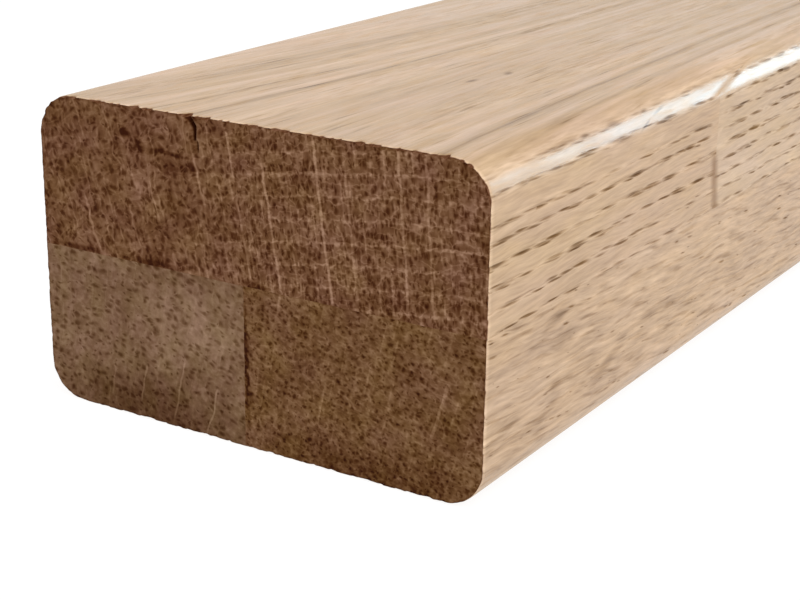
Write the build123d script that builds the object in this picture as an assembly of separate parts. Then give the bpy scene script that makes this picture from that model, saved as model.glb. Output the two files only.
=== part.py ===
"""A straight handrail of glue-laminated oak, in millimetres.

X runs across the rail, Y along it and Z up. The origin is at the middle of the underside.
The rail is planed to a rectangle with rounded long edges and sawn square at both ends.
One full-width lamella lies on two narrower ones, which meet in a standing glue line.
The upper lamella is made of two lengths of wood, finger-jointed end to end.
All glue joints are tight, so neighbouring pieces share their faces.
"""
import os

from build123d import *

# The planed rail
rail_length = 1000.0
rail_width = 64.0
rail_height = 40.0
edge_radius = 5.0

# The glue lines, seen on the sawn end at -Y
lower_lamella_height = 20.5
standing_glue_line_x = -0.7

# The finger joint in the upper lamella, as its cutter leaves it
end_block_length = 62.5
finger_length = 15.0
finger_pitch = 3.8
finger_tip_width = 0.42

# What follows from these sizes
half_width = rail_width / 2
end_y = -rail_length / 2
finger_root_y = end_y + end_block_length
finger_tip_y = finger_root_y + finger_length
upper_lamella_height = rail_height - lower_lamella_height


def planed_section():
    """The rail's cross-section on the XZ plane, standing on Z = 0."""
    outline = RectangleRounded(rail_width, rail_height, edge_radius)
    return Plane.XZ * Pos(0, rail_height / 2) * outline


def planed_rail():
    """The whole rail as if it were one piece of wood, from sawn end to sawn end."""
    return extrude(planed_section(), amount=rail_length / 2, both=True)


def lamella_stock(left_x, right_x, bottom_z, height):
    """A full-length sawn board between two heights and two sides, before planing."""
    board = Box(right_x - left_x, rail_length, height, align=(Align.MIN, Align.CENTER, Align.MIN))
    return Pos(left_x, 0, bottom_z) * board


def finger_profile():
    """The zigzag edge of the end block's fingers, from beyond +X to beyond -X.

    A root lies on the +X face, so that the joint shows there as one straight seam.
    The cutter runs over the whole board, so the fingers go on past both planed faces.
    """
    half_tip = finger_tip_width / 2
    half_pitch = finger_pitch / 2
    points = []
    root_x = half_width + finger_pitch
    while root_x > -half_width - finger_pitch:
        tip_x = root_x - half_pitch
        points += [
            (root_x + half_tip, finger_root_y),
            (root_x - half_tip, finger_root_y),
            (tip_x + half_tip, finger_tip_y),
            (tip_x - half_tip, finger_tip_y),
        ]
        root_x -= finger_pitch
    return points


def end_block_stock():
    """A board as long as the end block with its fingers, reaching beyond the planed faces."""
    fingers = finger_profile()
    first_x = fingers[0][0]
    last_x = fingers[-1][0]
    outline = Polyline(*fingers, (last_x, end_y), (first_x, end_y), close=True)
    return Pos(0, 0, lower_lamella_height) * extrude(make_face(outline), amount=upper_lamella_height)


def handrail_pieces():
    """Every piece of wood in the rail, by name."""
    rail = planed_rail()
    upper = rail & lamella_stock(-half_width, half_width, lower_lamella_height, upper_lamella_height)
    end_block = end_block_stock()
    left = lamella_stock(-half_width, standing_glue_line_x, 0, lower_lamella_height)
    right = lamella_stock(standing_glue_line_x, half_width, 0, lower_lamella_height)
    return {
        "top_lamella_end_block": upper & end_block,
        "top_lamella": upper - end_block,
        "bottom_left_lamella": rail & left,
        "bottom_right_lamella": rail & right,
    }


os.makedirs("parts", exist_ok=True)
for name, piece in handrail_pieces().items():
    export_step(piece, f"parts/{name}.step")
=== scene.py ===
"""The looks of a straight handrail, glued up from oak and lacquered on its long faces.

Everything is in metres in the part's own frame: X across the rail, Y along it, Z up, with the
photographed sawn end at -Y. Wood is a solid pattern that fills space: growth rings are shells
round each board's pith, pores are long tubes along Y, and rays are thin sheets that stand on the
pith. A sawn end, a side face and a rounded edge cut the same rings, so they meet at every arris.
Lengths inside the wood patterns are in millimetres, with Y counted from the photographed end.
"""
import math

import bpy
import numpy as np
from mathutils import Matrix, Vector


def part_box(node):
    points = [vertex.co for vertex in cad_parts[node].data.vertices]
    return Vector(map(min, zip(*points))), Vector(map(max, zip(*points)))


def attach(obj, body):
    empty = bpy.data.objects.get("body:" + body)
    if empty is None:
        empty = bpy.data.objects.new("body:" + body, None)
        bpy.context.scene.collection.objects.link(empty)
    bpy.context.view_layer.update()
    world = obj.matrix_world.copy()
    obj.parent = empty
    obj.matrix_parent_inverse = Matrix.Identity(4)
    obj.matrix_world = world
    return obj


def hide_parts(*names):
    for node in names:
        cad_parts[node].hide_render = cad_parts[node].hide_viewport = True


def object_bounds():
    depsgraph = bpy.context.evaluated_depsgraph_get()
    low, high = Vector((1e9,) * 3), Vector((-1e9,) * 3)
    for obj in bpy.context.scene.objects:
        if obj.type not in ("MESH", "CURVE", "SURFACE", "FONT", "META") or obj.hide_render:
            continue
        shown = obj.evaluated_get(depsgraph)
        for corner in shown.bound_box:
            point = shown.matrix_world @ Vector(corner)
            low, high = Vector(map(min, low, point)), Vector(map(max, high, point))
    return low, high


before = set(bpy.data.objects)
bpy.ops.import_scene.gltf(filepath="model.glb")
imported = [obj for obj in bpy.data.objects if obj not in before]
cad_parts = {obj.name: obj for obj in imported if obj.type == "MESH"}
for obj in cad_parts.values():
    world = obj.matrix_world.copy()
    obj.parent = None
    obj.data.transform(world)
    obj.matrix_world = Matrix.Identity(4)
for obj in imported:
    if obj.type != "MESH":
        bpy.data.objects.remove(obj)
cad_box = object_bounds()

MM = 0.001

# Sizes of the planed rail, from the frame
rail_low, rail_high = cad_box
HALF_WIDTH = rail_high.x
HEIGHT = rail_high.z
NEAR_END = rail_low.y
FAR_END = rail_high.y
GLUE_LINE_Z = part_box("top_lamella_end_block")[0][2]
STANDING_GLUE_LINE_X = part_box("bottom_left_lamella")[1][0]
FINGER_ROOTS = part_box("top_lamella")[0][1]
FINGER_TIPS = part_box("top_lamella_end_block")[1][1]

# Sizes that a box can't tell, as in the part's source
EDGE_RADIUS = 5 * MM
FINGER_PITCH = 3.8 * MM
FINGER_TIP_WIDTH = 0.42 * MM

# How finely the surfaces are worked out
COLUMN_STEP = 0.16 * MM
ROW_STEP = 0.25 * MM
EDGE_STEPS = 24


# Shapes

def planed_drop(x):
    """How far the planed outline falls below the flat face at x: zero on the flat, and on the
    rounded edge the radius less the height of a circle of that radius."""
    past_flat = np.clip(np.abs(x) - (HALF_WIDTH - EDGE_RADIUS), 0, EDGE_RADIUS)
    return EDGE_RADIUS - np.sqrt(EDGE_RADIUS**2 - past_flat**2)


def depth_in_section(x, z):
    """How far a point lies inside the planed outline, and the outward direction there: the
    distance to a rectangle with rounded corners."""
    side_x, side_z = np.sign(x), np.sign(z - HEIGHT / 2)
    over_x = np.abs(x) - (HALF_WIDTH - EDGE_RADIUS)
    over_z = np.abs(z - HEIGHT / 2) - (HEIGHT / 2 - EDGE_RADIUS)
    corner = np.hypot(np.maximum(over_x, 0), np.maximum(over_z, 0))
    depth = EDGE_RADIUS - corner - np.minimum(np.maximum(over_x, over_z), 0)
    in_corner = (over_x > 0) & (over_z > 0)
    safe = np.maximum(corner, 1e-9)
    out_x = np.where(in_corner, over_x / safe, over_x > over_z) * side_x
    out_z = np.where(in_corner, over_z / safe, over_z >= over_x) * side_z
    return depth, out_x, out_z


def finger_edge(x):
    """How far along Y the finger joint lies at x: a wave with straight flanks that runs from root
    to tip and back once in each pitch, with both its turns cut flat, and a root on the +X face."""
    half_pitch = FINGER_PITCH / 2
    from_root = half_pitch - np.abs((HALF_WIDTH - x) % FINGER_PITCH - half_pitch)
    flank = (from_root - FINGER_TIP_WIDTH / 2) / (half_pitch - FINGER_TIP_WIDTH)
    return FINGER_ROOTS + np.clip(flank, 0, 1) * (FINGER_TIPS - FINGER_ROOTS)


def finger_corners():
    """Every x at which the finger joint's edge turns a corner, inside the rail's width."""
    half_tip = FINGER_TIP_WIDTH / 2
    turns = HALF_WIDTH - np.arange(0, 2 * HALF_WIDTH / FINGER_PITCH + 1, 0.5) * FINGER_PITCH
    corners = np.concatenate([turns - half_tip, turns + half_tip])
    return corners[np.abs(corners) < HALF_WIDTH]


def smooth_noise(x, z, cell, seed):
    """Smooth noise from -1 to 1: random values on a square lattice of this cell, blended between
    the four nearest corners with an s-curve. The lattice repeats after 64 cells each way."""
    repeat, shift_x, shift_z = 64, 17.3, 9.1
    values = np.random.default_rng(seed).uniform(-1, 1, (repeat, repeat))
    u, v = x / cell + shift_x, z / cell + shift_z
    i, j = np.floor(u).astype(int), np.floor(v).astype(int)
    s, t = u - i, v - j
    s, t = s * s * (3 - 2 * s), t * t * (3 - 2 * t)
    i, j, next_i, next_j = i % repeat, j % repeat, (i + 1) % repeat, (j + 1) % repeat
    near = values[i, j] * (1 - s) + values[next_i, j] * s
    far = values[i, next_j] * (1 - s) + values[next_i, next_j] * s
    return near * (1 - t) + far * t


def groove(x, z, start, end, width):
    """How strongly a point lies in a groove from start to end, in millimetres: a bell curve of
    the distance to the straight line between them."""
    start, end = np.array(start) * MM, np.array(end) * MM
    run = end - start
    share = ((x - start[0]) * run[0] + (z - start[1]) * run[1]) / (run @ run)
    share = np.clip(share, 0, 1)
    away = np.hypot(x - start[0] - share * run[0], z - start[1] - share * run[1])
    return np.exp(-((away / (width * MM)) ** 2))


# The drying crack at the upper edge of the photographed end: from, to, half width and depth
CRACK = [((-8.8, 40.2), (-7.8, 38.9), 0.32, 0.8), ((-7.55, 38.6), (-7.6, 37.2), 0.22, 0.7),
         ((-7.2, 36.9), (-7.1, 35.8), 0.16, 0.35)]


def sawn_relief(x, z):
    """How far a sawn end lies behind its plane at each point: never below zero, a rough sum of
    smooth noise at three sizes."""
    rough = (
        0.03 * smooth_noise(x, z, 2.6 * MM, 1)
        + 0.03 * smooth_noise(x, z, 0.9 * MM, 2)
        + 0.035 * smooth_noise(x, z, 0.45 * MM, 3)
    )
    return np.maximum(rough + 0.085, 0) * MM


def broken_arris(x, z):
    """How much of the sawn arris is broken away at each point round the outline: many small
    breaks, and larger ones along the upper edge, where noise rises over a threshold."""
    fine = np.maximum(smooth_noise(x, z, 0.5 * MM, 4) + 0.1, 0)
    coarse = np.maximum(smooth_noise(x, z, 1.1 * MM, 5) - 0.15, 0)
    upper = np.clip((z - HEIGHT + EDGE_RADIUS) / EDGE_RADIUS, 0, 1)
    return (0.05 + (0.1 + 0.16 * upper) * fine + (0.1 + 0.26 * upper) * coarse) * MM


def near_crack(x, z):
    """How much more of the arris is broken away where the crack opens on it."""
    return 0.2 * MM * groove(x, z, (-8.9, 40.0), (-8.3, 40.0), 0.4)


def lamella_columns(left_x, right_x, extra=()):
    """The x of each column of surface points from one side of a lamella to the other: even steps
    on the flat, even turns of angle round the planed edges, and any extra places."""
    flat = HALF_WIDTH - EDGE_RADIUS
    low, high = max(left_x, -flat), min(right_x, flat)
    places = [np.linspace(low, high, int(round((high - low) / COLUMN_STEP)) + 1), extra]
    turn = flat + EDGE_RADIUS * np.sin(np.linspace(0, math.pi / 2, EDGE_STEPS + 1))
    if right_x > flat:
        places.append(turn)
    if left_x < -flat:
        places.append(-turn)
    return np.unique(np.round(np.concatenate(places), 7))


class End:
    """One end of a lamella: where it lies, which way it faces along Y, and whether it is sawn."""

    def __init__(self, place, outward, sawn, cracked=False):
        self.place, self.outward, self.sawn, self.cracked = place, outward, sawn, cracked

    def shape(self, x, z):
        """The end's points for section points x and z. A sawn end lies behind its plane by its
        relief, deepest in the crack, and draws in where its arris is broken; the draw fades over
        0.6 mm from the outline. A finger joint depends on x alone."""
        if not self.sawn:
            return x, finger_edge(x), z
        seen_x = x if self.outward < 0 else -x
        relief = sawn_relief(seen_x, z)
        if self.cracked:
            relief = relief + MM * sum(depth * groove(x, z, *line) for *line, depth in CRACK)
        depth, out_x, out_z = depth_in_section(x, z)
        draw = self.broken(x, z) * np.exp(-np.maximum(depth, 0) / (0.6 * MM))
        return x - out_x * draw, self.place - self.outward * relief, z - out_z * draw

    def broken(self, x, z):
        """How much of the arris is broken away at points of the outline."""
        if not self.sawn:
            return np.zeros_like(x)
        seen_x = x if self.outward < 0 else -x
        return broken_arris(seen_x, z) + (near_crack(x, z) if self.cracked else 0)


def end_stations(length, sawn):
    """Distances from an end, from zero to half a length: close together at a sawn arris, then
    each step half as long again as the last, and past a millimetre three times as long."""
    steps = [0.0]
    step = 0.09 * MM if sawn else 1.5 * MM
    while steps[-1] + step < length / 2:
        steps.append(steps[-1] + step)
        step = min(step * (1.5 if step < MM else 3), 100 * MM)
    return np.array(steps)


def share_along(lengths):
    """How far each point lies along a line of these lengths, from 0 at its start to 1 at its end."""
    reached = np.concatenate([[0], np.cumsum(lengths)])
    return reached / reached[-1]


# The order of a cell's corners that turns it to face the other way
TURNED_OVER = [0, 3, 2, 1]


def grid_cells(grid):
    """The four corners of every cell of a grid of numbers or points, in order round the cell."""
    corners = [grid[:-1, :-1], grid[1:, :-1], grid[1:, 1:], grid[:-1, 1:]]
    return np.stack(corners, 2).reshape(-1, 4, *grid.shape[2:])


def bake_map(x, z, around, along, band, split):
    """Each face corner's place on the map that the colours are baked to, all as seen from outside:
    both ends side by side in a band below, parted at split, and the long faces above it, unrolled
    with the outline across and the length upwards. Each fills its rectangle, less a thin margin."""
    gap = 0.004
    wide, tall = (x - x.min()) / np.ptp(x), (z - z.min()) / np.ptp(z)
    near = np.stack([gap + wide * (split - 2 * gap), gap + tall * (band - 2 * gap)], -1)
    far = np.stack([split + gap + (1 - wide) * (1 - split - 2 * gap), near[..., 1]], -1)
    u, v = 1 - gap - around * (1 - 2 * gap), band + gap + along * (1 - band - 2 * gap)
    long = np.stack(np.meshgrid(u, v), -1)
    return np.concatenate([grid_cells(near), grid_cells(far)[:, TURNED_OVER], grid_cells(long)])


# How much of their own width the glued faces, which never show, take on the bake map
GLUED_SHARE = 1 / 12


def lamella_surface(name, columns, low_z, high_z, near, far, band, split):
    """One lamella as a closed surface.

    Its section lies between low_z(x) and high_z(x), drawn as a grid of columns of constant x with
    the same number of rows in each. Each end is that grid, shaped by its End. The long faces are
    the grid's outline carried along Y, and a broken arris draws its outline in by an amount that
    fades to nothing within about a millimetre of the end. Band and split lay out its bake map.
    """
    rows = int(round(float(np.max(high_z(columns) - low_z(columns))) / ROW_STEP))
    share = np.linspace(0, 1, rows + 1)
    low, high = low_z(columns), high_z(columns)
    x = np.repeat(columns[:, None], rows + 1, 1)
    z = low[:, None] + share[None] * (high - low)[:, None]
    wide, tall = x.shape
    index = np.arange(wide * tall).reshape(wide, tall)
    outline = np.concatenate([index[:, 0], index[-1, 1:], index[-2::-1, -1], index[0, -2:0:-1]])

    caps = [np.stack(end.shape(x, z), -1).reshape(-1, 3) for end in (near, far)]
    loop_x, loop_z = x.ravel()[outline], z.ravel()[outline]
    depth, out_x, out_z = depth_in_section(loop_x, loop_z)
    planed = depth < 0.01 * MM
    near_y, far_y = caps[0][outline, 1], caps[1][outline, 1]
    length = float(np.median(far_y) - np.median(near_y))

    def loop_at(distance, end, start_y, other_y, toward):
        """The outline at a distance from one end."""
        broken = end.broken(loop_x, loop_z) * planed
        fade = np.maximum(1 - distance / (0.25 * MM + 1.6 * broken), 0) ** 1.4 if end.sawn else 0
        draw = broken * fade
        y = start_y + toward * distance * np.abs(other_y - start_y) / length
        return np.stack([loop_x - out_x * draw, y, loop_z - out_z * draw], -1)

    ahead = [loop_at(d, near, near_y, far_y, 1) for d in end_stations(length, near.sawn)[1:]]
    back = [loop_at(d, far, far_y, near_y, -1) for d in end_stations(length, far.sawn)[:0:-1]]
    between = np.stack(ahead + back)

    end_points = wide * tall
    points = np.concatenate([caps[0], caps[1], between.reshape(-1, 3)])
    near_faces = grid_cells(index)
    far_faces = near_faces[:, TURNED_OVER] + end_points
    loops = np.concatenate([
        outline[None],
        2 * end_points + np.arange(between[..., 0].size).reshape(between.shape[:2]),
        outline[None] + end_points,
    ])
    long_faces = grid_cells(np.concatenate([loops, loops[:, :1]], 1))

    sides = np.hypot(np.roll(loop_x, -1) - loop_x, np.roll(loop_z, -1) - loop_z)
    around = share_along(sides * np.where(planed & np.roll(planed, -1), 1, GLUED_SHARE))
    stations = np.median(points[loops, 1], axis=1)
    corners = bake_map(x, z, around, share_along(np.diff(stations)), band, split)

    faces = np.concatenate([near_faces, far_faces, long_faces])
    finish = np.zeros(len(faces), np.int32)
    finish[: len(near_faces)] = near.sawn
    finish[len(near_faces): 2 * len(near_faces)] = far.sawn
    return solid_piece(name, points, faces, finish, corners)


def put(name, data, place=(0, 0, 0), heading=None):
    """An object of this data in the scene, at place, with a camera or lamp turned to heading."""
    thing = bpy.data.objects.new(name, data)
    thing.location = place
    if heading is not None:
        thing.rotation_mode = "QUATERNION"
        thing.rotation_quaternion = heading.to_track_quat("-Z", "Y")
    bpy.context.scene.collection.objects.link(thing)
    return thing


def solid_piece(name, points, faces, finish, corners):
    """A mesh object at the origin from arrays of points, four-cornered faces, face finishes and
    the corners' places on the bake map."""
    mesh = bpy.data.meshes.new(name)
    mesh.vertices.add(len(points))
    mesh.vertices.foreach_set("co", points.astype(np.float32).ravel())
    mesh.loops.add(faces.size)
    mesh.loops.foreach_set("vertex_index", faces.astype(np.int32).ravel())
    mesh.polygons.add(len(faces))
    mesh.polygons.foreach_set("loop_start", np.arange(0, faces.size, 4, dtype=np.int32))
    mesh.polygons.foreach_set("material_index", finish)
    mesh.uv_layers.new(name="OFBake").uv.foreach_set("vector", corners.astype(np.float32).ravel())
    mesh.update(calc_edges=True)
    mesh.validate()
    mesh.shade_smooth()
    mesh.set_sharp_from_angle(angle=math.radians(40))
    return put(name, mesh)


def glue_line(x):
    """The level glue line between the upper lamella and the lower two."""
    return np.full_like(x, GLUE_LINE_Z)


def rail_top(x):
    """The planed upper side of the rail."""
    return HEIGHT - planed_drop(x)


# Tools for writing materials

def linear(value):
    """A display value from 0 to 255 as the light it stands for."""
    value = max(value, 0) / 255
    return value / 12.92 if value <= 0.04045 else ((value + 0.055) / 1.055) ** 2.4


def shade(colour, lift=0):
    """A colour as it shows on a screen, lifted by the same amount of grey in all three parts."""
    return tuple(linear(part + lift) for part in colour) + (1.0,)


def label(key):
    """An effect input's label, from its name in the calculation."""
    return key.replace("_", " ").title()


class Sheet:
    """A node tree written as a calculation: each method lays a node and returns its output."""

    def __init__(self, tree):
        self.tree = tree

    def lay(self, kind, inputs=None, output=0, **settings):
        """Lays a node, sets it up and fills its inputs. Gives one output, or all for None."""
        node = self.tree.nodes.new(kind)
        for key, value in settings.items():
            setattr(node, key, value)
        self.fill(node.inputs, inputs or {})
        return node.outputs[output] if output is not None else node.outputs

    def fill(self, sockets, values):
        """Joins each socket that is named to an output, or sets it to a number or colour."""
        for key, value in values.items():
            if isinstance(value, bpy.types.NodeSocket):
                self.tree.links.new(value, sockets[key])
            else:
                sockets[key].default_value = value

    def maths(self, operation, a, b=0.0, c=0.0):
        return self.lay("ShaderNodeMath", {0: a, 1: b, 2: c}, operation=operation)

    def times(self, *factors):
        product = factors[0]
        for factor in factors[1:]:
            product = self.maths("MULTIPLY", product, factor)
        return product

    def add(self, *terms):
        """The sum of terms. A term written as (value, weight) counts that many times."""
        total = 0.0
        for term in terms:
            value, weight = term if isinstance(term, tuple) else (term, 1.0)
            total = self.maths("MULTIPLY_ADD", value, weight, total)
        return total

    def minus(self, a, b):
        return self.maths("SUBTRACT", a, b)

    def over(self, a, b):
        return self.maths("DIVIDE", a, b)

    def without(self, mask):
        """One less the mask."""
        return self.maths("SUBTRACT", 1.0, mask)

    def size_of(self, value):
        return self.maths("ABSOLUTE", value)

    def vector(self, x, y, z):
        return self.lay("ShaderNodeCombineXYZ", {0: x, 1: y, 2: z})

    def scaled(self, *terms):
        """A vector of three values, each written as (value, factor)."""
        return self.vector(*(self.times(value, factor) for value, factor in terms))

    def parts(self, vector):
        return self.lay("ShaderNodeSeparateXYZ", {0: vector}, output=None)

    def vectors(self, operation, *inputs):
        output = "Value" if operation == "LENGTH" else "Vector"
        inputs = dict(enumerate(inputs))
        return self.lay("ShaderNodeVectorMath", inputs, output=output, operation=operation)

    def curve(self, value, low, high, start, end):
        """An s-curve from start, where value is low, to end, where it is high."""
        inputs = {"Value": value, "From Min": low, "From Max": high, "To Min": start, "To Max": end}
        return self.lay("ShaderNodeMapRange", inputs, interpolation_type="SMOOTHSTEP")

    def rise(self, value, low, high):
        return self.curve(value, low, high, 0.0, 1.0)

    def fall(self, value, low, high):
        return self.curve(value, low, high, 1.0, 0.0)

    def noise(self, vector, scale=1.0, detail=2.0, roughness=0.5, flat=False):
        """Noise about zero, mostly from -0.5 to 0.5. Flat noise heeds only X and Y."""
        inputs = {"Vector": vector, "Scale": scale, "Detail": detail, "Roughness": roughness}
        kind = "2D" if flat else "3D"
        return self.minus(self.lay("ShaderNodeTexNoise", inputs, noise_dimensions=kind), 0.5)

    def stir(self, vector, scale, detail, flat=False):
        """Noise about zero that differs from direction to direction."""
        inputs = {"Vector": vector, "Scale": scale, "Detail": detail}
        kind = "2D" if flat else "3D"
        moved = self.lay("ShaderNodeTexNoise", inputs, output="Color", noise_dimensions=kind)
        return self.vectors("SUBTRACT", moved, (0.5, 0.5, 0.5))

    def swirl(self, vector, scale, amount, flat=False):
        """The vector, moved about by noise of its own for each direction across the grain."""
        moved = self.stir(vector, scale, 1.0, flat)
        return self.vectors("MULTIPLY_ADD", moved, self.vector(amount, amount, 0.0), vector)

    def nearest(self, cell, **settings):
        """The nearest of points scattered one to a cell: its Distance, Position and own Color."""
        inputs = {"Vector": cell, "Scale": 1.0}
        return self.lay("ShaderNodeTexVoronoi", inputs, output=None, **settings)

    def effect(self, effect, **inputs):
        """Places an effect group with its values; returns its outputs."""
        inputs = {label(key): value for key, value in inputs.items()}
        return self.lay("ShaderNodeGroup", inputs, output=None, node_tree=effect)

    def ramp(self, tone, stops):
        """A colour for each tone from 0 to 1, through these stops of (tone, colour)."""
        result = self.lay("ShaderNodeValToRGB", {0: tone})
        elements = result.node.color_ramp.elements
        elements[0].position, elements[0].color = stops[0]
        elements[1].position, elements[1].color = stops[-1]
        for position, colour in stops[1:-1]:
            elements.new(position).color = colour
        return result

    def blend(self, mask, base, top):
        """The base colour where the mask is zero, the top colour where it is one."""
        inputs = {"Factor": mask, "A": base, "B": top}
        return self.lay("ShaderNodeMix", inputs, output="Result", data_type="RGBA")


class Effect(Sheet):
    """A shader node group to write on. Its inputs, each with its usual value, or None for a
    vector, become parts of it by name."""

    def __init__(self, name, **inputs):
        super().__init__(bpy.data.node_groups.new(name, "ShaderNodeTree"))
        for key, value in inputs.items():
            kind = "NodeSocketVector" if value is None else "NodeSocketFloat"
            socket = self.tree.interface.new_socket(label(key), in_out="INPUT", socket_type=kind)
            if value is not None:
                socket.default_value = value
        given = self.tree.nodes.new("NodeGroupInput").outputs
        for key in inputs:
            setattr(self, key, given[label(key)])

    def done(self, **outputs):
        """Gives the group these outputs, and returns the group."""
        for name in outputs:
            kind = "NodeSocketVector" if name == "Place" else "NodeSocketFloat"
            self.tree.interface.new_socket(name, in_out="OUTPUT", socket_type=kind)
        self.fill(self.tree.nodes.new("NodeGroupOutput").inputs, outputs)
        return self.tree


# Effects shared by the finishes

LOG_RADIUS = 200.0


def place_effect():
    """A point in millimetres, with Y counted from the photographed end; how far it lies behind
    the nearer sawn end; and how far it lies below the planed outline."""
    s = Effect("place_in_rail")
    point = s.lay("ShaderNodeTexCoord", output="Object")
    place = s.vectors("MULTIPLY_ADD", point, (1 / MM,) * 3, (0.0, -NEAR_END / MM, 0.0))
    x, y, z = s.parts(place)
    length, radius, middle = (FAR_END - NEAR_END) / MM, EDGE_RADIUS / MM, HEIGHT / MM / 2
    over_x = s.minus(s.size_of(x), HALF_WIDTH / MM - radius)
    over_z = s.minus(s.size_of(s.minus(z, middle)), middle - radius)
    corner = s.vector(s.maths("MAXIMUM", over_x, 0.0), s.maths("MAXIMUM", over_z, 0.0), 0.0)
    flat = s.maths("MINIMUM", s.maths("MAXIMUM", over_x, over_z), 0.0)
    below = s.minus(s.minus(radius, s.vectors("LENGTH", corner)), flat)
    return s.done(Place=place, Behind=s.maths("MINIMUM", y, s.minus(length, y)), Below=below)


def growth_effect():
    """Where a point lies in its log: how far round the pith, how far out from it, how far along,
    and its ring count. Slow noise makes the rings wander, and curl swirls the fibres on the side
    of the board between two values of X."""
    s = Effect(
        "growth", place=None, pith_x=0.0, pith_z=-180.0, lean_z=0.0, first_ring=200.0,
        ring_width=2.5, wander=1.0, curl=0.0, curl_from=8.0, curl_to=-8.0, seed=0.0,
    )
    x, along, z = s.parts(s.place)
    seeded = s.maths("MULTIPLY_ADD", along, 0.02, s.seed)
    curly = s.rise(s.times(x, -1.0), s.times(s.curl_from, -1.0), s.times(s.curl_to, -1.0))
    curl = s.times(curly, s.curl)
    swirl = s.parts(s.stir(s.vector(x, seeded, z), 0.42, 1.5))
    x = s.maths("MULTIPLY_ADD", swirl[0], curl, x)
    z = s.maths("MULTIPLY_ADD", swirl[2], curl, z)
    slow = s.vector(x, s.maths("MULTIPLY_ADD", along, 0.1, s.seed), z)
    bend = s.times(s.noise(slow, 0.045), s.wander)
    across = s.minus(x, s.pith_x)
    up = s.minus(s.minus(z, s.pith_z), s.times(along, s.lean_z))
    out = s.add(s.vectors("LENGTH", s.vector(across, up, 0.0)), bend)
    around = s.times(s.maths("ARCTAN2", across, up), LOG_RADIUS)
    ring = s.over(s.minus(out, s.first_ring), s.ring_width)
    return s.done(Around=around, Out=out, Along=along, Ring=ring, Curly=curly)


def flat_cell(s):
    """A place across the grain, counted in cells of Across by Deep."""
    return s.vector(s.add(s.over(s.around, s.across), s.seed), s.over(s.out, s.deep), 0.0)


def long_cell(s, out):
    """A place in the wood, counted in cells that are Across wide and Length long."""
    along = s.add(s.over(s.along, s.length), s.seed)
    return s.vector(s.over(s.around, s.across), s.over(out, s.across), along)


def cell_effect():
    """Ragged hollow cells of end grain: Core is one in a cell's middle, and the size of its hollow
    differs from cell to cell by Spread."""
    s = Effect("end_grain_cells", around=0.0, out=0.0, across=0.5, deep=0.5, hollow=0.4, spread=0.5,
               ragged=0.6, seed=0.0)
    near = s.nearest(s.swirl(flat_cell(s), 1.1, s.ragged, flat=True), voronoi_dimensions="2D")
    size = s.times(s.hollow, s.without(s.times(s.parts(near["Color"])[0], s.spread)))
    return s.done(Core=s.fall(near["Distance"], s.times(size, 0.05), s.times(size, 1.3)))


def net_effect():
    """A crinkled net of thin lines, along which smooth noise crosses zero."""
    s = Effect("crinkled_net", around=0.0, out=0.0, across=2.0, deep=1.0, thickness=0.06, seed=0.0)
    wave = s.noise(flat_cell(s), 1.0, 2.0, 0.45, flat=True)
    return s.done(Net=s.fall(s.size_of(wave), 0.0, s.thickness))


def string_effect():
    """Ragged strings along the grain, where noise that is stretched along it rises over Cut."""
    s = Effect("strings", around=0.0, out=0.0, along=0.0, across=0.5, length=5.0, cut=0.1, soft=0.1,
               seed=0.0)
    noise = s.noise(long_cell(s, s.out), 1.0, 1.5)
    return s.done(String=s.rise(noise, s.cut, s.add(s.cut, s.soft)))


def dash_effect():
    """Pores cut lengthwise: separate dashes along the grain that slope a little, each pointed at
    both ends. Core is one in a dash's middle, and Rim is one on the clear wood just outside it."""
    s = Effect("pore_dashes", around=0.0, out=0.0, along=0.0, across=0.5, length=4.0, slope=0.06,
               size=0.5, spread=0.5, seed=0.0)
    sloping = s.maths("MULTIPLY_ADD", s.along, s.slope, s.out)
    near = s.nearest(s.swirl(long_cell(s, sloping), 0.9, 0.5))
    chance = s.parts(near["Color"])
    size = s.times(s.size, s.without(s.times(chance[0], s.spread)))
    core = s.fall(near["Distance"], s.times(size, 0.2), size)
    rim = s.times(s.fall(near["Distance"], size, s.times(size, 1.5)), s.without(core))
    return s.done(Core=s.times(core, s.add(0.5, (chance[1], 0.5))), Rim=rim)


def ray_effect():
    """Scattered rays: thin sheets that stand on the pith, each of limited reach and length."""
    s = Effect("scattered_rays", around=0.0, out=0.0, along=0.0, spacing=1.6, reach=8.0, length=30.0,
               thickness=0.15, seed=0.0)
    around = s.add(s.over(s.around, s.spacing), s.seed)
    cell = s.vector(around, s.over(s.out, s.reach), s.over(s.along, s.length))
    away = s.vectors("SUBTRACT", cell, s.nearest(cell)["Position"])
    away = s.parts(s.vectors("ABSOLUTE", away))
    line = s.fall(s.times(away[0], s.spacing), s.times(s.thickness, 0.3), s.times(s.thickness, 0.7))
    return s.done(Ray=s.times(line, s.fall(away[1], 0.3, 0.5), s.fall(away[2], 0.3, 0.5)))


def broad_ray_effect():
    """One broad ray of the sawn end, at a place round the pith and between two distances from it.
    It sways a little and frays at both ends."""
    s = Effect("broad_ray", around=0.0, out=0.0, at=0.0, start=190.0, stop=220.0, width=0.25)
    fray = 0.6
    sway = s.noise(s.vector(s.at, s.times(s.out, 0.3), 0.0), 1.0, 1.0, flat=True)
    away = s.size_of(s.add(s.around, (s.at, -1.0), (sway, 0.35)))
    line = s.fall(away, s.times(s.width, 0.25), s.times(s.width, 0.75))
    starts = s.rise(s.out, s.add(s.start, -fray), s.add(s.start, fray))
    stops = s.fall(s.out, s.add(s.stop, -fray), s.add(s.stop, fray))
    return s.done(Ray=s.times(line, starts, stops))


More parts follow.
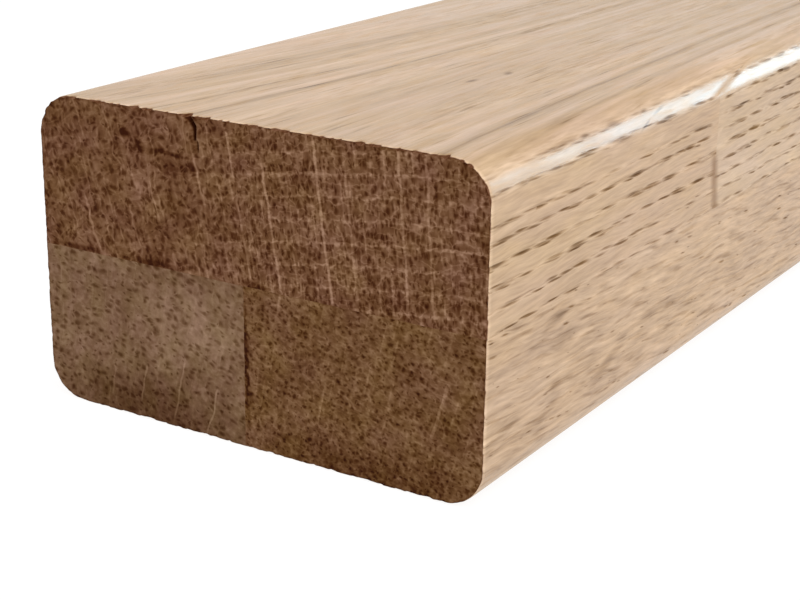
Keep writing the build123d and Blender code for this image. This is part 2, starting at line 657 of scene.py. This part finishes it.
def mark_effect():
    """One soft-edged oval mark with its middle at At. It ends at Reach from there along each of
    its own axes, which are turned by Turn."""
    s = Effect("mark", place=None, at=None, reach=None, turn=None, soft=0.5)
    away = s.lay("ShaderNodeVectorRotate",
                 {"Vector": s.vectors("SUBTRACT", s.place, s.at), "Rotation": s.turn},
                 rotation_type="EULER_XYZ", invert=True)
    away = s.vectors("LENGTH", s.vectors("DIVIDE", away, s.reach))
    return s.done(Mark=s.fall(away, s.without(s.soft), 1.0))


def finger_effect():
    """The finger joint's seam: Line is one on its flanks and Root on its flat turns, which make
    the upright seam on the side face, leaning a little; Near is one close to either."""
    s = Effect("finger_seam", place=None)
    x, y, z = s.parts(s.place)
    side, pitch, tip = HALF_WIDTH / MM, FINGER_PITCH / MM, FINGER_TIP_WIDTH / MM
    roots = (FINGER_ROOTS - NEAR_END) / MM
    from_root = s.maths("PINGPONG", s.minus(side, x), pitch / 2)
    flank = s.over(s.minus(from_root, tip / 2), pitch / 2 - tip)
    flank = s.maths("MINIMUM", s.maths("MAXIMUM", flank, 0.0), 1.0)
    edge = s.maths("MULTIPLY_ADD", flank, (FINGER_TIPS - FINGER_ROOTS) / MM, roots)
    away = s.size_of(s.minus(y, edge))
    on_face = s.rise(s.size_of(x), side - 0.25, side - 0.12)
    leaning = s.add(y, -roots, (s.add(z, -25.0), 0.2))
    from_seam = s.add(s.size_of(leaning), (s.noise(s.place, 0.5, 0.0), 0.5))
    return s.done(
        Line=s.times(s.fall(away, 0.8, 4.2), s.without(on_face)),
        Root=s.times(s.fall(from_seam, -0.1, 1.8), on_face),
        Near=s.times(s.fall(away, 1.2, 3.2), on_face),
    )


PLACE = place_effect()
GROWTH = growth_effect()
CELLS = cell_effect()
NET = net_effect()
STRINGS = string_effect()
DASHES = dash_effect()
SCATTERED_RAYS = ray_effect()
BROAD_RAY = broad_ray_effect()
MARK = mark_effect()
FINGER_SEAM = finger_effect()


# Finishes

# How much darker and lighter than its colour, on a screen, wood gets at tones zero and one
END_TONES = (-52, 52)
LONG_TONES = (-95, 60)

# Where the pores' cells are counted from, round the pith and out from it
PORES_FROM = (-42.0, 213.0)

# The middle line of the top's curved grain, and the strip of it with lines at chosen places
MIDDLE_LINE = 8.0
TOP_LINES_FROM = -40.0
TOP_LINES_WIDTH = 64.0


def new_finish(name):
    """A material. Returns it, a sheet to write on and the inputs of its Principled shader."""
    finish = bpy.data.materials.new(name)
    finish.use_nodes = True
    return finish, Sheet(finish.node_tree), finish.node_tree.nodes["Principled BSDF"].inputs


def tones(s, tone, colour, low, high):
    """A colour for each tone: the colour itself at a half, lifted by low at 0 and by high at 1."""
    lifts = ((0.0, low), (0.25, low / 2), (0.5, 0), (0.75, high / 2), (1.0, high))
    return s.ramp(tone, [(position, shade(colour, lift)) for position, lift in lifts])


def ray_between(growth, top_x, top_z, bottom_x, bottom_z):
    """A broad ray's place round the pith and its two distances from it, from the two ends of the
    line that it makes on the photographed end."""
    ends = ((top_x, top_z), (bottom_x, bottom_z))
    ends = [(x - growth["pith_x"], z - growth["pith_z"]) for x, z in ends]
    around = [math.atan2(across, up) * LOG_RADIUS for across, up in ends]
    out = [math.hypot(across, up) for across, up in ends]
    return dict(at=sum(around) / 2, start=min(out), stop=max(out))


def one_mark(s, place, middle, reach, strength, turn=(0, 0, 0), soft=0.9):
    """One mark and its strength, from its middle and reach in millimetres and turn in degrees."""
    turn = tuple(math.radians(angle) for angle in turn)
    mark = s.effect(MARK, place=place, at=middle, reach=reach, turn=turn, soft=soft)["Mark"]
    return mark, strength


def place_marks(s, tone, place, marks):
    """The tone, or the ring count, with several marks added to it."""
    for mark in marks:
        tone = s.add(tone, one_mark(s, place, *mark))
    return tone


def sawn_end_grain(name, board):
    """Raw end grain: dark open wood with pores, rays and a net of paler fibres, not lacquered."""
    finish, s, shader = new_finish(name)
    place = s.effect(PLACE)
    log = s.effect(GROWTH, place=place["Place"], **board["growth"])
    around, out, curly = log["Around"], log["Out"], log["Curly"]
    grain = dict(around=around, out=out)
    flat_place = s.vector(around, out, 0.0)
    a = board["end_amounts"]

    share = s.maths("FRACT", place_marks(s, log["Ring"], place["Place"], board["ring_shifts"]))
    straight = s.without(curly)
    fine = s.noise(flat_place, board["end_fine"], 1.0, flat=True)
    ragged_share = s.add(share, (fine, 0.3))
    band = s.times(s.rise(ragged_share, 0.78, 0.88), s.fall(ragged_share, 0.9, 1.0), straight)
    pores = board["end_pores"]
    curly_across, curly_deep = board["curly_pores"]
    pore = s.effect(CELLS, **dict(
        pores, around=s.add(around, -PORES_FROM[0]), out=s.add(out, -PORES_FROM[1]),
        across=s.add(pores["across"], (curly, curly_across)),
        deep=s.add(pores["deep"], (curly, curly_deep)),
    ))["Core"]
    net = s.effect(NET, **grain, **board["end_net"])["Net"]
    net = s.times(net, s.add(0.55, (straight, 0.45)))
    height = s.add((pore, -1.0), (fine, 0.6), (net, 0.3))

    scattered = s.effect(SCATTERED_RAYS, **grain, **board["end_rays"])["Ray"]
    streaked = s.vectors("MULTIPLY", flat_place, board["end_streaks"])
    streaks = s.noise(streaked, 1.0, 2.0, 0.6, flat=True)
    cloud = s.noise(flat_place, 0.2, 3.0, 0.6, flat=True)
    rays = 0.0
    for *ends, strength in board["broad_rays"]:
        ray = ray_between(board["growth"], *ends)
        line = s.effect(BROAD_RAY, **grain, **ray, width=board["ray_width"])["Ray"]
        rays = s.maths("MAXIMUM", rays, s.times(line, strength))
    dark = s.times(pore, s.without(s.times(rays, 0.75)))
    tone = s.add(
        a["ground"], (dark, -a["pore"]), (net, a["net"]), (scattered, a["ray"]), (fine, a["fine"]),
        (streaks, a["streak"]), (cloud, a["cloud"]), (band, a["band"]), (rays, a["broad"]),
    )
    tone = place_marks(s, tone, s.swirl(place["Place"], 1.1, 1.3), board["end_marks"])
    # Painted shade: the crack's recess is darkened. The end is also darker within half a millimetre of
    # its outline.
    crack_shade, at_arris = s.rise(place["Behind"], 0.2, 0.55), s.fall(place["Below"], 0.0, 0.5)
    tone = s.add(tone, (crack_shade, -0.7), (at_arris, -0.12))
    hue = s.add(0.5, (s.noise(flat_place, 0.22, flat=True), 2.2))
    rosy = tones(s, tone, board["end_rosy"], *END_TONES)
    olive = tones(s, tone, board["end_olive"], *END_TONES)
    s.fill(shader, {
        "Base Color": s.blend(hue, olive, rosy), "Roughness": 0.9, "Specular IOR Level": 0.08,
        "Normal": s.lay("ShaderNodeBump", {"Height": height, "Strength": 0.2, "Distance": 0.00008}),
    })
    return finish


def lacquered_grain(name, board):
    """Long faces: light oak with open pores in rows, ray flecks and soft streaks, under a clear
    satin lacquer that thins into the pores. Raw wood shows where the arris is broken."""
    finish, s, shader = new_finish(name)
    place = s.effect(PLACE)
    x, y, z = s.parts(place["Place"])
    log = s.effect(GROWTH, place=place["Place"], **board["growth"])
    around, out, along = log["Around"], log["Out"], log["Along"]
    grain = dict(around=around, out=out, along=along)
    a = board["long_amounts"]

    # Rows of open pores, in each ring's early wood
    share = s.maths("FRACT", place_marks(s, log["Ring"], place["Place"], board["ring_shifts"]))
    width, faint = board["early_share"], board["low_rows_faint"]
    row = s.times(s.rise(share, 0.0, width * 0.4), s.fall(share, width * 0.6, width),
                  s.add(1.0 - faint, (s.rise(z, 21.0, 31.0), faint)))
    gaps = s.noise(s.scaled((log["Ring"], 0.9), (around, 0.1), (along, 0.13)), 1.0, 1.0)
    size = s.add(board["late_size"], (s.times(row, s.rise(gaps, -0.45, -0.12)), board["early_size"]))
    dashes = s.effect(DASHES, **grain, **board["long_dashes"], size=size)
    cores = dashes["Core"]
    wavy = s.add(out, (s.noise(s.scaled((around, 0.2), (out, 0.2), (along, 0.07))), 1.6))
    threads = s.effect(STRINGS, **dict(grain, out=wavy), **board["long_threads"])["String"]
    threads = s.times(threads, s.maths("MAXIMUM", row, board["threads_everywhere"]))
    if board["finger_jointed"]:
        finger = s.effect(FINGER_SEAM, place=place["Place"])
        clear = s.without(s.times(finger["Near"], s.rise(z, 27.5, 30.0)))
        cores, threads = s.times(cores, clear), s.times(threads, clear)
    facing_up = s.size_of(s.parts(s.lay("ShaderNodeTexCoord", output="Normal"))[2])
    quiet = s.rise(facing_up, 0.6, 0.95)
    fainter = s.without(s.times(s.rise(facing_up, 0.42, 0.75), 0.75))
    cores, threads = s.times(cores, fainter), s.times(threads, fainter)
    fine = board["long_fine"]
    fibre = s.noise(s.scaled((around, fine), (wavy, fine), (along, 0.2)), 1.0, 2.0, 0.55)
    height = s.add((cores, -1.0), (threads, -0.5), (fibre, 0.4))

    # How light the wood is, with painted light and shade: paler rims beside the pores, and a lift or
    # drop for faces turned up
    cloud = s.noise(s.scaled((x, 0.12), (z, 0.16), (y, 0.02)))
    flecks = s.effect(SCATTERED_RAYS, **grain, **board["long_rays"])["Ray"]
    mottle = s.noise(s.scaled((around, 0.8), (wavy, 0.8), (along, 0.14)), 1.0, 1.0)
    # Painted highlight: clear wood just outside each dash in a row is made paler, standing in for light
    # caught by the pores' relief.
    sharp = s.add(
        (cores, -a["core"]), (threads, -a["thread"]), (flecks, a["fleck"]), (fibre, a["fibre"]),
        (s.times(dashes["Rim"], row), a["rim_highlight"]), (mottle, a["mottle"]),
    )
    lines = cathedral(s, x, y, z, board)
    if board["finger_jointed"]:
        bar = s.times(finger["Root"], s.fall(z, 27.0, 29.5))
        sharp = s.times(sharp, s.without(s.times(bar, 0.85)))
    # Painted light and shade: faces turned up get their tone raised or lowered per board, for how light
    # falls on the top.
    tone = s.add(a["ground"], s.times(sharp, s.without(s.times(quiet, 0.5))), (lines, a["line"]),
                 (cloud, a["cloud"]), (quiet, board["painted_top_shading"]))
    tone = place_marks(s, tone, s.swirl(place["Place"], 0.3, 1.0), board["long_patches"])
    tone = place_marks(s, tone, place["Place"], board["long_marks"])
    gloss = s.add(1.1, (s.rise(fibre, -0.1, 0.3), -0.45), (s.rise(mottle, -0.1, 0.3), -0.3))
    if board["finger_jointed"]:
        seam = s.times(finger["Line"], s.without(quiet))
        tone = s.add(tone, (bar, -0.2))
        gloss = s.times(gloss, s.without(s.times(seam, 0.75)), s.without(s.times(bar, 0.4)))
    tone = s.add(tone, (s.fall(place["Behind"], 0.1, 0.9), 0.2))

    # Its colour: olive on the top and in dark lines there, rosy and olive in clouds elsewhere
    hue = s.noise(s.scaled((x, 0.2), (z, 0.2), (y, 0.06)))
    on_top = s.times(quiet, s.rise(z, 20.0, 30.0))
    hue = s.add(0.5, (hue, 2.2), (on_top, -board["olive_top"]), (s.times(lines, quiet), 2.2))
    pale = s.blend(hue, tones(s, tone, board["long_olive"], *LONG_TONES),
                   tones(s, tone, board["long_rosy"], *LONG_TONES))
    if board["finger_jointed"]:
        pale = s.blend(s.times(bar, 0.45), pale, shade((146, 113, 86)))
    torn = s.rise(place["Below"], 0.03, 0.09)
    raw = tones(s, s.add(0.45, fibre), board["end_rosy"], *END_TONES)
    open_pore = s.maths("MAXIMUM", cores, s.times(threads, 0.4))
    open_wood = s.maths("MAXIMUM", torn, s.times(open_pore, 0.9))
    s.fill(shader, {
        "Base Color": s.blend(torn, pale, raw), "Roughness": s.add(0.5, (fibre, 0.3)),
        "Coat Weight": s.times(s.without(open_wood), gloss, 0.64),
        "Coat Roughness": 0.26, "Specular IOR Level": 0.0,
        "Normal": s.lay("ShaderNodeBump", {"Height": height, "Strength": 0.7, "Distance": 0.00013}),
    })
    return finish


def cathedral(s, x, y, z, board):
    """The soft lines of a flat-sawn face: noise on a coordinate that is drawn together along Y, so
    that its lines close towards a middle line. The flat faces also have fine strings along it and,
    where the board has any, pale and dark lines at chosen places, with the strings denser in the
    dark ones."""
    reach = s.times(s.maths("TANH", s.over(y, 95.0)), 95.0)
    from_middle = s.add(x, -MIDDLE_LINE)
    pull = s.add(0.0035, (s.fall(from_middle, -2.0, 2.0), 0.0055))
    drawn = s.times(from_middle, s.add(1.0, s.times(reach, pull)))
    soft = s.noise(s.scaled((drawn, 0.75), (z, 0.8), (y, 0.03)), 1.0, 3.0, 0.68)
    flat = s.add(s.rise(z, 37.0, 39.5), s.fall(z, 0.5, 3.0))
    strings = s.effect(
        STRINGS, around=drawn, out=s.times(z, 0.3), along=y, across=0.6, length=13.0, cut=0.08,
        soft=0.16, seed=21.0,
    )["String"]
    strings = s.times(strings, flat)
    if not board["top_lines"]:
        return s.add(soft, (strings, -0.6))
    stops = [((place - TOP_LINES_FROM) / TOP_LINES_WIDTH, (value, value, value, 1))
             for place, value in board["top_lines"]]
    ragged = s.noise(s.vector(s.times(drawn, 1.6), 3.0, s.times(y, 0.14)), 1.0, 2.0, 0.6)
    across = s.maths("MULTIPLY_ADD", s.add(drawn, ragged), 1 / TOP_LINES_WIDTH,
                     -TOP_LINES_FROM / TOP_LINES_WIDTH)
    chosen = s.ramp(across, stops)
    pale = s.maths("MAXIMUM", s.add(chosen, -0.5), 0.0)
    dark = s.maths("MAXIMUM", s.minus(0.5, chosen), 0.0)
    return s.add(
        s.times(soft, s.add(0.4, (flat, 0.95))), (s.times(pale, flat), 0.8),
        (s.times(dark, s.add(dark, 0.25), flat), -1.5),
        (s.times(strings, s.add(0.5, (dark, 1.2))), -0.85),
    )


# Boards. Rays are read from the photographed end as (top x, top z, bottom x, bottom z, strength).

UPPER_GROWTH = dict(pith_x=41, pith_z=-180, first_ring=200, ring_width=2.58, wander=1.6, curl=1.5,
                    curl_from=6, curl_to=-12)
UPPER_LONG = dict(
    early_share=0.54, late_size=0, early_size=0.94, low_rows_faint=0.15,
    olive_top=0.15, painted_top_shading=0.01, ring_shifts=[], threads_everywhere=0, long_fine=2.4,
    long_dashes=dict(across=0.44, length=4.6, slope=0.055, spread=0.35),
    long_threads=dict(across=0.42, length=6, cut=-0.03, soft=0.2, seed=5),
    long_rays=dict(spacing=1.7, reach=1.2, length=7, thickness=0.4),
    long_amounts=dict(ground=0.54, core=0.38, thread=0.16, fleck=0.05, fibre=0.42, line=0.4,
                      cloud=0.16, rim_highlight=0.08, mottle=0.06),
    long_patches=[], long_marks=[], top_lines=[], finger_jointed=True,
)
END_BLOCK = dict(
    UPPER_LONG,
    growth=UPPER_GROWTH,
    ring_shifts=[((32, 30, 33.3), (9, 200, 2.5), 0.37, (0, 0, 0), 0.95),
                 ((32, 30, 38), (9, 200, 1.6), 0.24, (0, 0, 0), 0.95)],
    end_pores=dict(across=0.58, deep=1.15, hollow=0.62, spread=0.7, ragged=0.8),
    curly_pores=(0.3, -0.1),
    end_net=dict(across=1.7, deep=1.1, thickness=0.08, seed=7),
    end_rays=dict(spacing=1.5, reach=7, thickness=0.24),
    ray_width=0.3,
    broad_rays=[
        (2.25, 35.75, 4.75, 20.6, 1), (9.1, 39.6, 12, 20.6, 1),
        (13.25, 38.5, 15.5, 21.5, 0.6), (20.5, 39.4, 22, 21.5, 0.8),
        (23.75, 39.4, 25.5, 21.5, 0.65), (-2.75, 39, -1.75, 32.5, 0.5),
        (-1.5, 31, 0.5, 21.25, 0.7), (-7.5, 35, -6, 27.5, 0.45),
        (-14.25, 31.5, -13.5, 26, 0.7), (-25.25, 28, -22.75, 21, 0.8),
    ],
    end_fine=1.3, end_streaks=(1.8, 0.7, 1),
    end_amounts=dict(ground=0.515, pore=0.36, net=0.2, ray=0.14, broad=0.27, fine=0.38, streak=0.36,
                     cloud=0.45, band=0.2),
    end_marks=[
        ((-18.1, 0, 36.6), (1.9, 9, 0.6), -0.42),
        ((-16.2, 0, 35.5), (1.4, 9, 0.55), -0.42, (0, 60, 0)),
        ((-19.8, 0, 35.6), (1, 9, 0.5), -0.4, (0, -70, 0)),
        ((-11.6, 0, 35), (3.4, 9, 0.45), -0.4, (0, 5, 0)),
        ((-10.5, 0, 33.6), (3.2, 9, 1.6), -0.12, (0, 0, 0), 0.7),
        ((0.8, 0, 20.8), (2.4, 9, 0.8), -0.42),
        ((-14.5, 0, 20.8), (5.6, 9, 0.7), -0.42),
        ((-26.5, 0, 20.8), (5.2, 9, 0.65), -0.38),
    ],
    end_rosy=(103, 68, 47), end_olive=(103, 70, 42),
    long_rosy=(179, 147, 118), long_olive=(180, 148, 112),
    # Painted highlight: a paler patch on the rounded edge next to the sawn end, standing in for the
    # broad gleam there.
    long_patches=[((30.6, 3, 38.6), (2.4, 17, 2.4), 0.14)],
    long_marks=[
        ((9, 36, 40), (0.7, 1.9, 1), -0.28, (0, 0, -5)),
        ((10.5, 43, 40), (0.8, 1.7, 1), -0.28, (0, 0, 14)),
        ((31.7, 39.2, 36.6), (0.5, 2.6, 0.3), -0.26, (16, 0, 5)),
        ((31.3, 43.8, 37.6), (0.5, 3.4, 0.3), -0.2, (9, 0, 7)),
        ((30.9, 24, 38.15), (0.6, 1.9, 0.4), -0.36),
        ((30.9, 15.6, 38.2), (0.6, 2.4, 0.4), -0.2),
        ((30.8, 31.2, 38.2), (0.6, 2, 0.4), -0.22),
        ((30.9, 40.2, 38.1), (0.6, 1.3, 0.4), -0.3),
    ],
    top_lines=[
        (-40, 0.75), (-37, 0.5), (-34.5, 0.2), (-31.5, 0.4), (-29.4, 0.35), (-27, 0.62),
        (-24.6, 0.65), (-22.3, 0.28), (-20.6, 0.42), (-18.4, 0.78), (-16.4, 0.05), (-15, 0.42),
        (-12.7, 0.64), (-10, 0.72), (-8, 0.42), (-7, 0.5), (-5.8, 0.24), (-4.2, 0.64),
        (-2.4, 0.38), (-0.6, 0.48), (2, 0.54), (4.6, 0.54), (6.2, 0.38), (9, 0.42),
        (11.5, 0.66), (14, 0.34), (15.8, 0.8), (17.5, 0), (19.2, 0.56), (20.4, 0.7),
        (22.2, 0.24), (23.4, 0.76),
    ],
)
UPPER = dict(
    END_BLOCK | UPPER_LONG,
    growth=dict(UPPER_GROWTH, first_ring=200.6, ring_width=2.1, seed=71),
    long_amounts=dict(UPPER_LONG["long_amounts"], ground=0.57, core=0.4, thread=0.24, fibre=0.38,
                      line=0.29),
    long_dashes=dict(UPPER_LONG["long_dashes"], across=0.54, seed=6), long_fine=2,
    broad_rays=[], end_marks=[], top_lines=END_BLOCK["top_lines"],
    long_rosy=(180, 151, 124), long_olive=(178, 147, 111), painted_top_shading=-0.03,
)
LOWER_LONG = dict(
    UPPER_LONG,
    early_share=0.4, late_size=0.12, early_size=0.4, low_rows_faint=0, olive_top=0,
    painted_top_shading=0, threads_everywhere=0.8, long_fine=1.75,
    long_dashes=dict(across=0.6, length=3.4, slope=0.05, spread=0.9, seed=3),
    curly_pores=(0, 0),
    long_threads=dict(across=0.55, length=6, cut=0, soft=0.22, seed=8),
    long_amounts=dict(ground=0.54, core=0.3, thread=0.16, fleck=0.06, fibre=0.6, line=0.24,
                      cloud=0.18, rim_highlight=0, mottle=0.17),
    finger_jointed=False,
)
LOWER_LEFT = dict(
    LOWER_LONG,
    growth=dict(pith_x=-41, pith_z=-120, first_ring=120, ring_width=1.8, wander=1.2, curl=0.8,
                seed=31),
    end_pores=dict(across=1.9, deep=0.85, hollow=0.52, spread=1, ragged=0.55, seed=3),
    end_net=dict(across=2.4, deep=1.2, thickness=0.08, seed=9),
    end_rays=dict(spacing=3.2, reach=7, thickness=0.2, seed=5),
    ray_width=0.4,
    broad_rays=[(-16, 7.25, -17, 2.25, 0.9), (-10, 9, -11.75, 0.75, 0.9),
                (-4.75, 6.5, -6.5, 0.5, 1), (-21, 5.5, -22, 2, 0.6)],
    end_fine=1, end_streaks=(0.6, 1.3, 1),
    end_amounts=dict(ground=0.535, pore=0.32, net=0.08, ray=0.06, broad=0.24, fine=0.24, streak=0.4,
                     cloud=0.35, band=0),
    end_marks=[((-8, 0, 14), (12, 9, 7), 0.12),
               # Painted shade: the end grows darker towards its bottom edge.
               ((-16, 0, 1), (22, 9, 8), -0.32)],
    end_rosy=(112, 82, 62), end_olive=(110, 83, 57),
    long_rosy=(178, 147, 119), long_olive=(180, 148, 113),
)
LOWER_RIGHT = dict(
    LOWER_LONG,
    growth=dict(pith_x=-31, pith_z=-190, lean_z=-0.06, first_ring=190, ring_width=1.8, wander=1.4,
                curl=0.9, seed=57),
    end_pores=dict(across=0.75, deep=0.7, hollow=0.48, spread=0.9, ragged=0.8, seed=11),
    end_net=dict(across=1.6, deep=1, thickness=0.08, seed=13),
    end_rays=dict(spacing=3, reach=5, thickness=0.2, seed=8),
    ray_width=0.4,
    broad_rays=[(11, 10.5, 9.75, 5.5, 0.6), (27.25, 14.5, 25.5, 7.5, 0.9),
                (4.5, 20.4, 4.4, 18, 0.9), (12.7, 20.4, 12.6, 18.6, 0.8)],
    end_fine=1.4, end_streaks=(0.9, 1.6, 1),
    end_amounts=dict(ground=0.54, pore=0.34, net=0.12, ray=0.1, broad=0.2, fine=0.46, streak=0.5,
                     cloud=0.4, band=0),
    # The first mark is painted shade, darker towards the bottom of the end; the second is the dark
    # standing glue line.
    end_marks=[((16, 0, 1), (20, 9, 5), -0.22),
               ((-0.4, 0, 11), (0.5, 9, 10), -0.5, (0, -1.5, 0), 0.8)],
    end_rosy=(98, 65, 41), end_olive=(98, 67, 35),
    long_rosy=(178, 147, 118), long_olive=(180, 147, 112),
    long_patches=[
        ((32, 30.8, 8), (4, 7, 1.3), -0.17, (19, 0, 0)),
        ((32, 46, 10.9), (4, 11, 1.2), -0.15, (2, 0, 0)),
        ((32, 74, 8), (4, 10, 1.1), -0.14, (-3, 0, 0)),
        ((32, 16.5, 18.2), (4, 5, 1.5), -0.14, (12, 0, 0)),
        ((32, 19, 15.2), (4, 5, 1.7), -0.12, (-5, 0, 0)),
        ((32, 17, 9.6), (4, 2.8, 1.3), -0.14),
        ((32, 11, 6.3), (4, 12, 0.8), -0.12, (-1, 0, 0)),
    ],
)


def make_lamellae():
    """The four pieces of wood, each with its section, its two ends, the layout of its bake map, its
    board, the node that it stands for and that node's slot."""
    upper = lamella_columns(-HALF_WIDTH, HALF_WIDTH, finger_corners()), glue_line, rail_top
    left = lamella_columns(-HALF_WIDTH, STANDING_GLUE_LINE_X), planed_drop, glue_line
    right = lamella_columns(STANDING_GLUE_LINE_X, HALF_WIDTH), planed_drop, glue_line
    near, far = End(NEAR_END, -1, True, cracked=True), End(FAR_END, 1, True)
    fingers = End(FINGER_ROOTS, 0, False)
    lamellae = [
        ("upper_lamella_end_block", upper, near, fingers, (0.5, 0.94), END_BLOCK,
         "top_lamella_end_block", "upper_oak"),
        ("upper_lamella", upper, fingers, far, (0.14, 0.08), UPPER, "top_lamella", "upper_oak"),
        ("lower_left_lamella", left, near, far, (0.16, 0.6), LOWER_LEFT,
         "bottom_left_lamella", "lower_left_oak"),
        ("lower_right_lamella", right, near, far, (0.16, 0.6), LOWER_RIGHT,
         "bottom_right_lamella", "lower_right_oak"),
    ]
    for name, section, first_end, last_end, layout, board, node, slot in lamellae:
        piece = lamella_surface(name, *section, first_end, last_end, *layout)
        board_name = name.replace("_lamella", "")
        piece.data.materials.append(lacquered_grain(f"{board_name}_lacquered", board))
        piece.data.materials.append(sawn_end_grain(f"{board_name}_end_grain", board))
        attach(piece, "root")
        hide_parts(node)


# The camera of the photograph, found by fitting the section's outline
CAMERA_FROM_END = Vector((114.06, -151.09, 83.38)) * MM
CAMERA_HEADING = Vector((-0.53579601, 0.78028683, -0.32260672))
SENSOR_WIDTH = 36.0
LENS = 76.46
SIDE_SHIFT = 0.1


def make_camera():
    """A camera where the photograph's stood, in front of the sawn end, above and to its right."""
    lens = bpy.data.cameras.new("camera")
    lens.sensor_width = SENSOR_WIDTH
    lens.lens = LENS
    lens.shift_x = SIDE_SHIFT
    lens.clip_start = 0.01
    place = CAMERA_FROM_END + Vector((0, NEAR_END, 0))
    bpy.context.scene.camera = put("camera", lens, place, CAMERA_HEADING)


def soft_light(name, place, target, size, power, colour=(1.0, 1.0, 1.0)):
    """A rectangular soft light at place, turned to target."""
    lamp = bpy.data.lights.new(name, "AREA")
    lamp.shape = "RECTANGLE"
    lamp.size, lamp.size_y = size
    lamp.energy = power
    lamp.color = colour
    put(name, lamp, place, Vector(target) - Vector(place))


WHITE = (1, 1, 1, 1)


def make_studio():
    """A white floor, a surround that is white low down and greyer above, an overhead light, and a
    softbox far behind the rail that draws the gleam along its rounded edge."""
    scene = bpy.context.scene
    scene.view_settings.view_transform = "Standard"
    world = bpy.data.worlds.new("surround")
    world.use_nodes = True
    s = Sheet(world.node_tree)
    height = s.parts(s.lay("ShaderNodeTexCoord", output="Generated"))[2]
    strength = s.add(0.55, (s.fall(height, 0.26, 0.57), 0.5))
    s.fill(world.node_tree.nodes["Background"].inputs, {"Color": WHITE, "Strength": strength})
    scene.world = world
    middle = (0, NEAR_END + 0.05, 0.02)
    soft_light("overhead", (0.9, NEAR_END - 0.5, 2.1), middle, (1.6, 1.6), 34)
    soft_light("far_softbox", (1.2, NEAR_END + 3.0, 0.5), middle, (0.88, 0.95), 27.5, (0.56, 0.83, 1.0))

    mesh = bpy.data.meshes.new("floor")
    reach, level = 6.0, -0.1 * MM
    corners = [(-reach, -reach), (reach, -reach), (reach, reach), (-reach, reach)]
    mesh.from_pydata([(x, y, level) for x, y in corners], [], [(0, 1, 2, 3)])
    floor = put("floor", mesh)
    finish, s, shader = new_finish("floor_white")
    s.fill(shader, {
        "Base Color": (0.15, 0.15, 0.15, 1), "Emission Color": WHITE, "Emission Strength": 0.9,
        "Roughness": 0.9, "Specular IOR Level": 0.0,
    })
    mesh.materials.append(finish)


make_lamellae()
make_camera()
make_studio()
